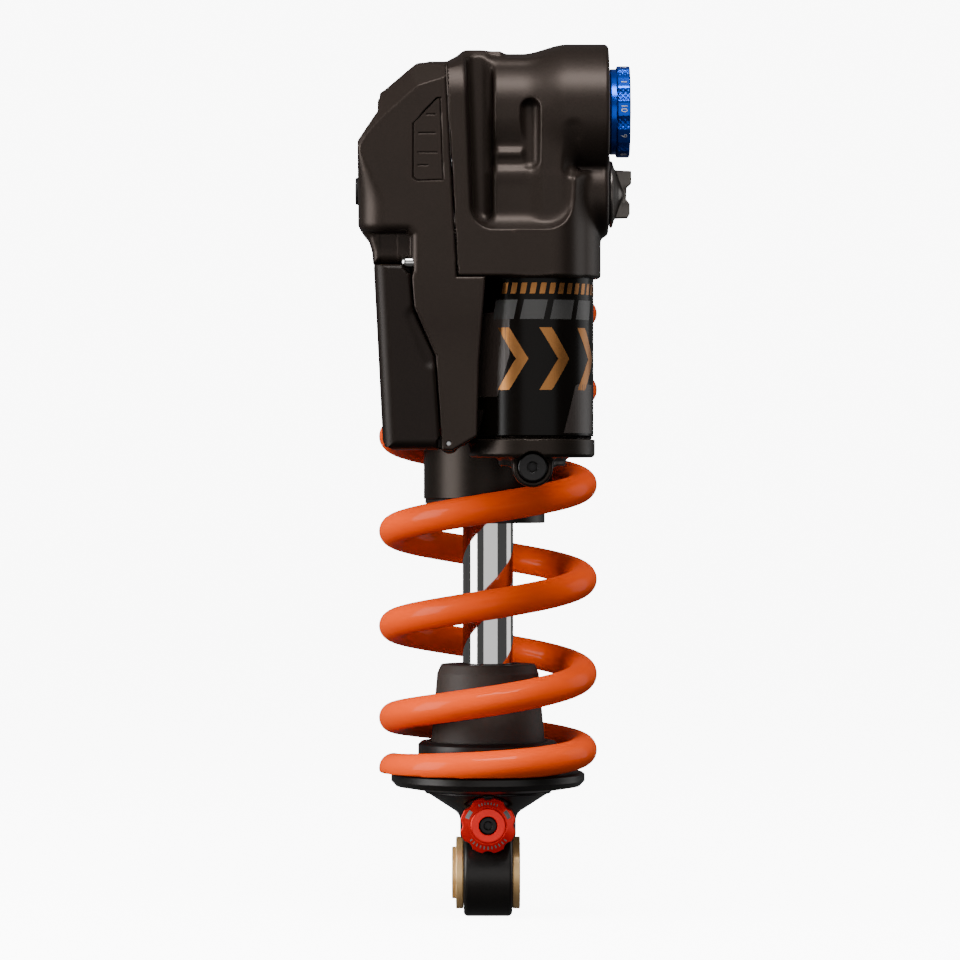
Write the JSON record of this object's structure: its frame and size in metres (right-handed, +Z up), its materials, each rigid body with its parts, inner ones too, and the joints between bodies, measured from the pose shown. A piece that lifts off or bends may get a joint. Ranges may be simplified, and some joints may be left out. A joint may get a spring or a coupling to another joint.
{
  "type": "bicycle rear shock",
  "caption": "Coil-over rear shock with a trunnion head, piggyback reservoir, electronic controller, swing-out battery and adjuster knobs.",
  "frame": {"origin": "centre of the lower eye, on the axis of its pin", "axes": "+Z up the damper axis to the trunnion, +X along the eye bolt towards the adjuster dials, -Y towards the reservoir"},
  "size_m": [0.0661, 0.0883, 0.2137],
  "materials": {
    "cast_black": "satin black anodised, bead blasted",
    "anodised_dark": "dark bronze anodised, turned",
    "steel_bright": "polished hard chrome",
    "steel_plain": "ground steel",
    "aluminium_plain": "turned aluminium",
    "spring_orange": "gloss powder coat",
    "reservoir_black": "gloss black with a foil pattern",
    "rubber_black": "matte",
    "bumper_foam": "matte micro-cellular foam",
    "bronze_liner": "satin",
    "cap_gold": "hard anodised, tan",
    "red_anodised": "anodised",
    "blue_anodised": "anodised",
    "gunmetal": "polished anodised",
    "screw_black": "black oxide",
    "shell_plastic": "satin moulded",
    "board_green": "gloss",
    "gold_contact": "gold plated",
    "cell_wrap": "shrink wrap",
    "ptfe_brown": "matte"
  },
  "bodies": {
    "damper": {"head_casting": "cast_black", "body_tube": "anodised_dark", "inner_tube": "aluminium_plain", "seal_head": "anodised_dark", "shaft_bushing": "bronze_liner", "shaft_seal": "rubber_black", "shaft_wiper": "rubber_black", "seal_head_oring": "rubber_black", "coil_spring": "spring_orange", "reservoir_tube": "reservoir_black", "reservoir_cap": "anodised_dark", "reservoir_oring": "rubber_black", "fill_screw": "screw_black", "compression_cartridge": "blue_anodised", "base_valve": "aluminium_plain", "bleed_screw": "screw_black", "controller_housing": "cast_black", "controller_cover": "cast_black", "controller_gasket": "rubber_black", "circuit_board": "board_green", "controller_screws": "screw_black", "nameplate": "shell_plastic", "contact_pins": "gold_contact", "battery_pin": "steel_plain", "solenoid": "steel_plain"},
    "spring_seat": {"upper_spring_seat": "anodised_dark"},
    "collar": {"preload_collar": "anodised_dark", "collar_screw": "screw_black"},
    "leg": {"shaft": "steel_bright", "main_piston": "aluminium_plain", "piston_band": "ptfe_brown", "compression_shims": "steel_plain", "rebound_shims": "steel_plain", "piston_nut": "steel_plain", "lower_eyelet": "cast_black", "spring_retainer": "anodised_dark", "bumper": "bumper_foam", "bumper_washer": "anodised_dark", "eye_bushing": "bronze_liner"},
    "rod": {"rebound_rod": "steel_plain"},
    "rebound": {"rebound_knob": "red_anodised", "knob_screw": "screw_black"},
    "pin": {"eye_pin": "cap_gold", "eye_caps": "cap_gold"},
    "gas_piston": {"floating_piston": "aluminium_plain", "piston_oring": "rubber_black"},
    "dial": {"compression_dial": "blue_anodised", "dial_screw": "screw_black"},
    "wing": {"wing_knob": "gunmetal"},
    "battery": {"battery_case": "shell_plastic", "battery_cell": "cell_wrap"},
    "catch": {"battery_catch": "steel_bright"},
    "button": {"side_button": "rubber_black"},
    "plunger": {"pilot_plunger": "steel_plain"}
  },
  "joints": [
    {"name": "shock_stroke", "type": "slide", "parent": "damper", "child": "leg", "axis": [0, 0, 1], "range_m": [0, 0.05], "stiffness_N_per_m": 78800, "deforming": ["coil_spring", "bumper"]},
    {"name": "gas_piston_travel", "type": "slide", "parent": "damper", "child": "gas_piston", "axis": [0, 0, 1], "range_m": [-0.0125, 0]},
    {"name": "rebound_knob_turn", "type": "hinge", "parent": "leg", "child": "rebound", "pos_m": [0, -0.012, 0.0128], "axis": [0, -1, 0], "range_deg": [0, 320]},
    {"name": "rebound_rod_lift", "type": "slide", "parent": "leg", "child": "rod", "axis": [0, 0, 1], "range_m": [0, 0.0012]},
    {"name": "eye_pin_turn", "type": "hinge", "parent": "leg", "child": "pin", "pos_m": [0, 0, 0], "axis": [1, 0, 0], "continuous": true},
    {"name": "spring_seat_travel", "type": "slide", "parent": "damper", "child": "spring_seat", "axis": [0, 0, 1], "range_m": [0, 0.003]},
    {"name": "preload_collar_turn", "type": "hinge", "parent": "spring_seat", "child": "collar", "pos_m": [0, 0, 0.1525], "axis": [0, 0, 1], "range_deg": [0, 720]},
    {"name": "compression_dial_turn", "type": "hinge", "parent": "damper", "child": "dial", "pos_m": [0.032, -0.044, 0.1866], "axis": [1, 0, 0], "range_deg": [-150, 150]},
    {"name": "wing_knob_turn", "type": "hinge", "parent": "damper", "child": "wing", "pos_m": [0.032, -0.044, 0.1668], "axis": [1, 0, 0], "range_deg": [0, 90]},
    {"name": "battery_tilt", "type": "hinge", "parent": "damper", "child": "battery", "pos_m": [-0.0094, -0.045, 0.1069], "axis": [0, -1, 0], "range_deg": [0, 70]},
    {"name": "battery_catch_push", "type": "slide", "parent": "damper", "child": "catch", "axis": [1, 0, 0], "range_m": [0, 0.0012], "stiffness_N_per_m": 300},
    {"name": "side_button_press", "type": "slide", "parent": "damper", "child": "button", "axis": [1, 0, 0], "range_m": [0, 0.0006], "stiffness_N_per_m": 400},
    {"name": "pilot_plunger_travel", "type": "slide", "parent": "damper", "child": "plunger", "axis": [-1, 0, 0], "range_m": [0, 0.0006], "stiffness_N_per_m": 500}
  ],
  "couplings": [
    {"joint": "gas_piston_travel", "follows": "shock_stroke", "ratio": -0.23859},
    {"joint": "rebound_knob_turn", "follows": "rebound_rod_lift", "rad_per_m": 4654},
    {"joint": "spring_seat_travel", "follows": "preload_collar_turn", "m_per_rad": 0.0002387}
  ]
}
